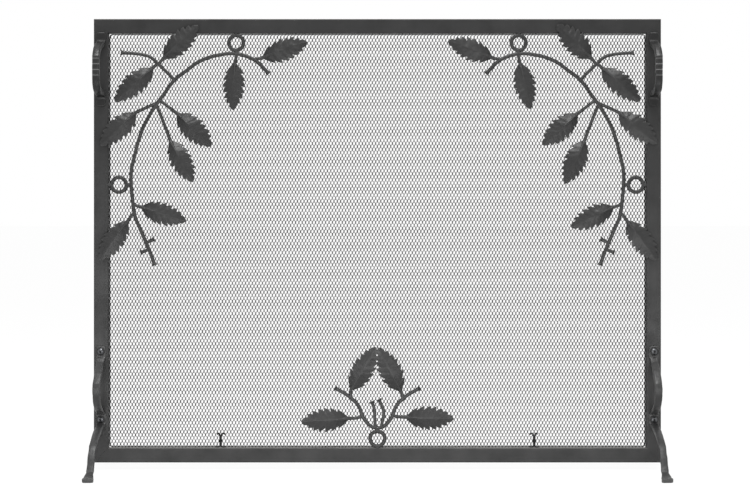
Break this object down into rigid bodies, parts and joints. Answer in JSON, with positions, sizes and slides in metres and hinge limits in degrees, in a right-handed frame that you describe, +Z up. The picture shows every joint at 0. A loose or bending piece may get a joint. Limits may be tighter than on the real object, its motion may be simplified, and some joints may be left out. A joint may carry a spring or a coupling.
{
  "type": "fireplace screen",
  "caption": "Free-standing single-panel fireplace screen: a steel frame backed with woven wire mesh, forged leaf-and-vine ornament, twisted side handles and splayed bolted feet.",
  "frame": {"origin": "centre of the footprint on the floor, midway between the toes of the front and the rear legs", "axes": "+X along the screen towards its right-hand end as seen from the front, +Y from the front (ornament) side to the back, +Z up"},
  "size_m": [0.9906, 0.3006, 0.7874],
  "materials": {
    "frame_steel": "satin graphite paint",
    "leaf_steel": "satin graphite paint",
    "mesh_wire": "satin black paint",
    "tie_wire": "black paint",
    "fixings": "dull zinc"
  },
  "bodies": {
    "root": {"frame_top_rail": "frame_steel", "frame_bottom_rail": "frame_steel", "frame_left_stile": "frame_steel", "frame_right_stile": "frame_steel", "woven_mesh": "mesh_wire", "mesh_band_top": "frame_steel", "mesh_band_bottom": "frame_steel", "mesh_band_left": "frame_steel", "mesh_band_right": "frame_steel", "mesh_band_screws": "fixings", "left_mesh_tie": "tie_wire", "right_mesh_tie": "tie_wire", "left_vine": "frame_steel", "right_vine": "frame_steel", "left_twig": "frame_steel", "right_twig": "frame_steel", "left_nubs": "frame_steel", "right_nubs": "frame_steel", "left_top_ring": "frame_steel", "right_top_ring": "frame_steel", "left_side_ring": "frame_steel", "right_side_ring": "frame_steel", "left_leaf_1": "leaf_steel", "left_leaf_2": "leaf_steel", "left_leaf_3": "leaf_steel", "left_leaf_4": "leaf_steel", "left_leaf_5": "leaf_steel", "left_leaf_6": "leaf_steel", "left_leaf_7": "leaf_steel", "left_leaf_8": "leaf_steel", "left_leaf_9": "leaf_steel", "right_leaf_1": "leaf_steel", "right_leaf_2": "leaf_steel", "right_leaf_3": "leaf_steel", "right_leaf_4": "leaf_steel", "right_leaf_5": "leaf_steel", "right_leaf_6": "leaf_steel", "right_leaf_7": "leaf_steel", "right_leaf_8": "leaf_steel", "right_leaf_9": "leaf_steel", "bottom_ring": "frame_steel", "bottom_left_stem": "frame_steel", "bottom_right_stem": "frame_steel", "bottom_twigs": "frame_steel", "bottom_leaf_1": "leaf_steel", "bottom_leaf_2": "leaf_steel", "bottom_leaf_3": "leaf_steel", "bottom_leaf_4": "leaf_steel", "left_handle": "frame_steel", "right_handle": "frame_steel", "front_left_leg": "frame_steel", "front_right_leg": "frame_steel", "rear_left_leg": "frame_steel", "rear_right_leg": "frame_steel", "leg_bolts": "fixings", "leg_washers": "frame_steel", "leg_nuts": "fixings"}
  },
  "joints": []
}
